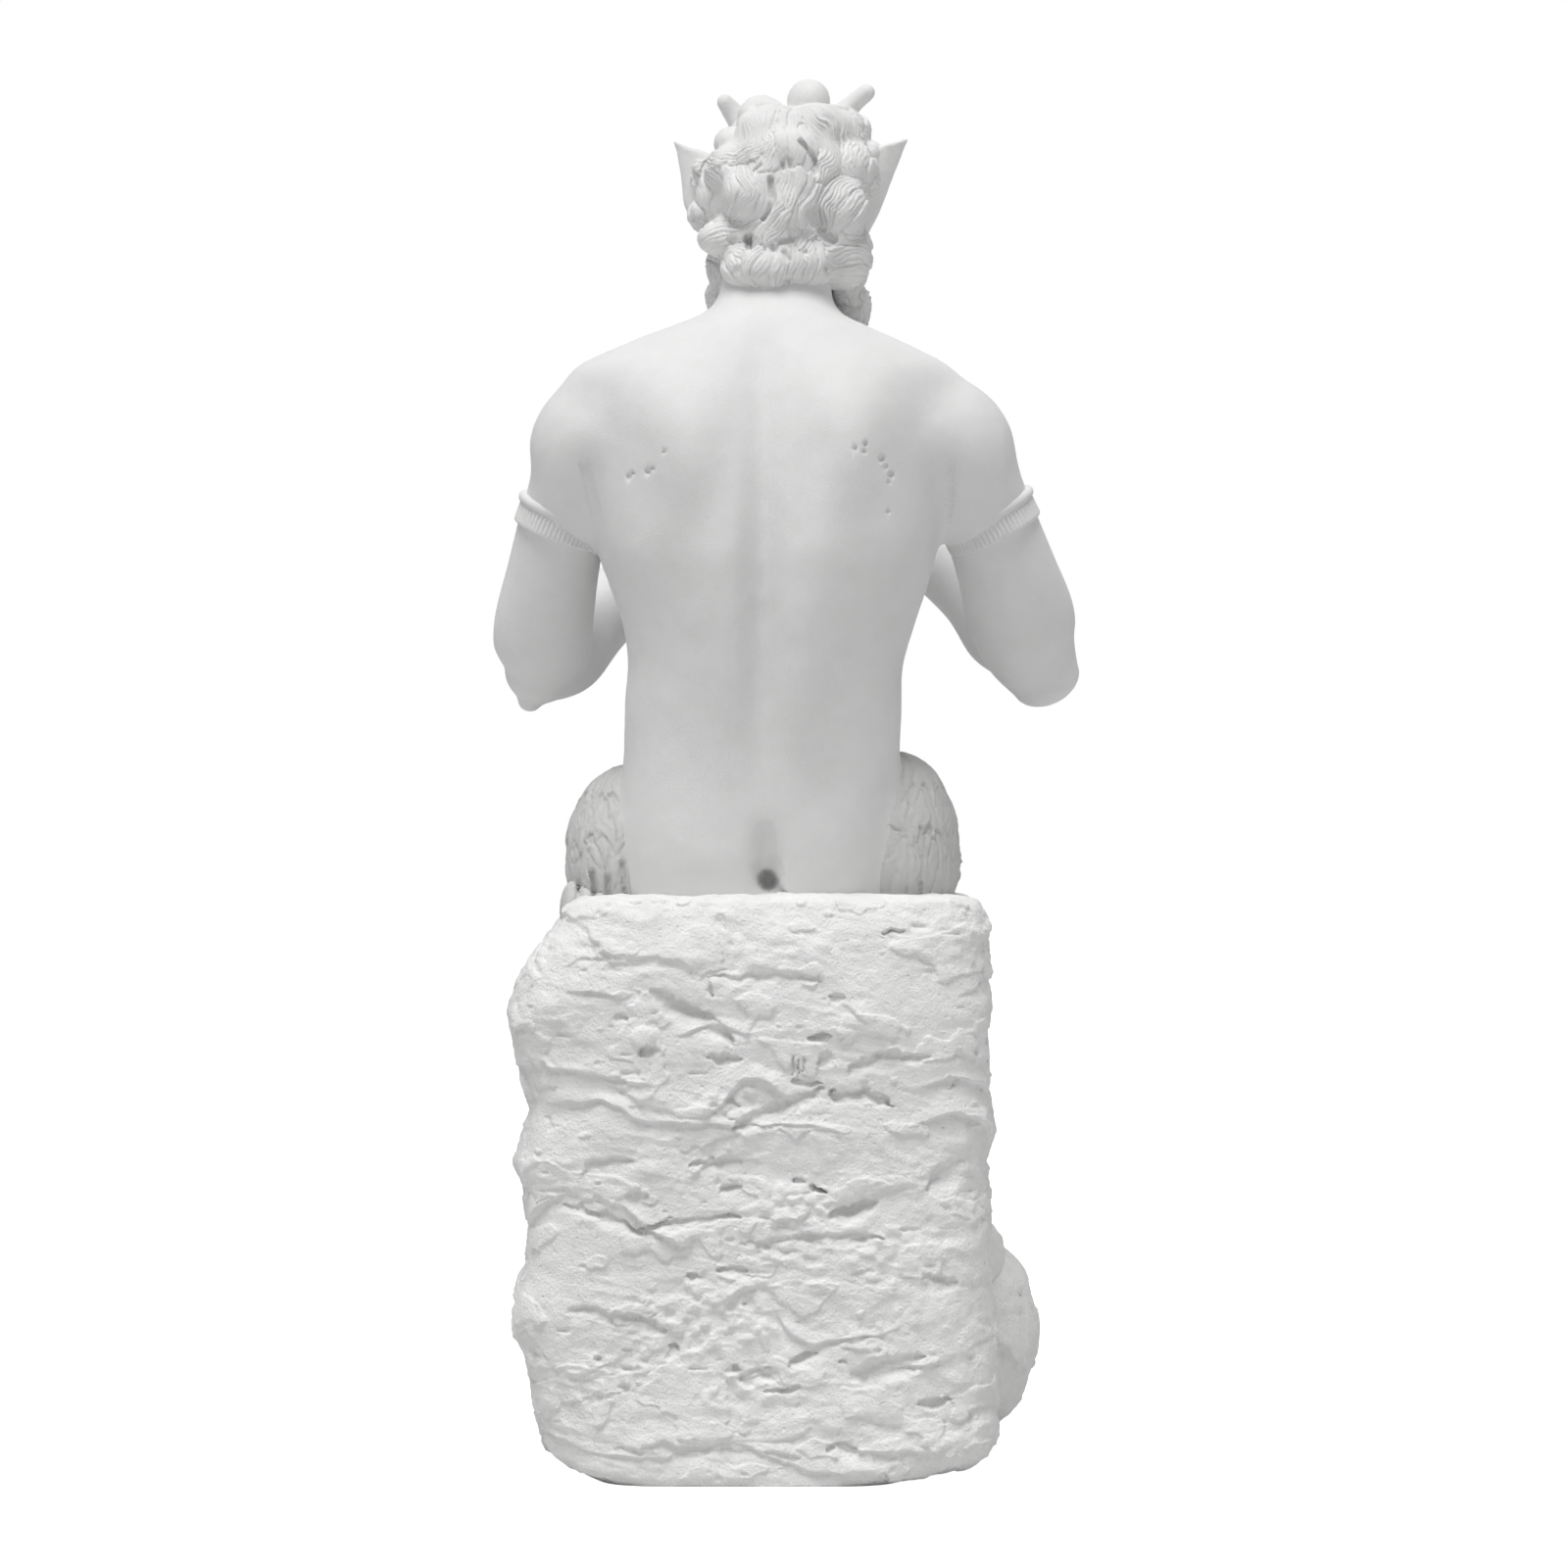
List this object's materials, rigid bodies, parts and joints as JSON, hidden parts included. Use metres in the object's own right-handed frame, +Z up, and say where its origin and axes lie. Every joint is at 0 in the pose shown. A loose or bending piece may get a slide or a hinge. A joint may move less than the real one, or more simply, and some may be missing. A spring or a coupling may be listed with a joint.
{
  "type": "pan statue",
  "caption": "Statue of a seated goat-legged figure with horns and pointed ears, playing pan pipes on a rough block of rock, carved in the round from pale stone.",
  "frame": {"origin": "on the flat underside, below the figure's spine", "axes": "+Z up, -Y the way the figure faces, +X its left side"},
  "size_m": [0.5934, 0.6564, 1.393],
  "materials": {
    "stone": "matt, finely grained white marble, rough on the rock"
  },
  "bodies": {
    "root": {"pan_statue": "stone"}
  },
  "joints": []
}
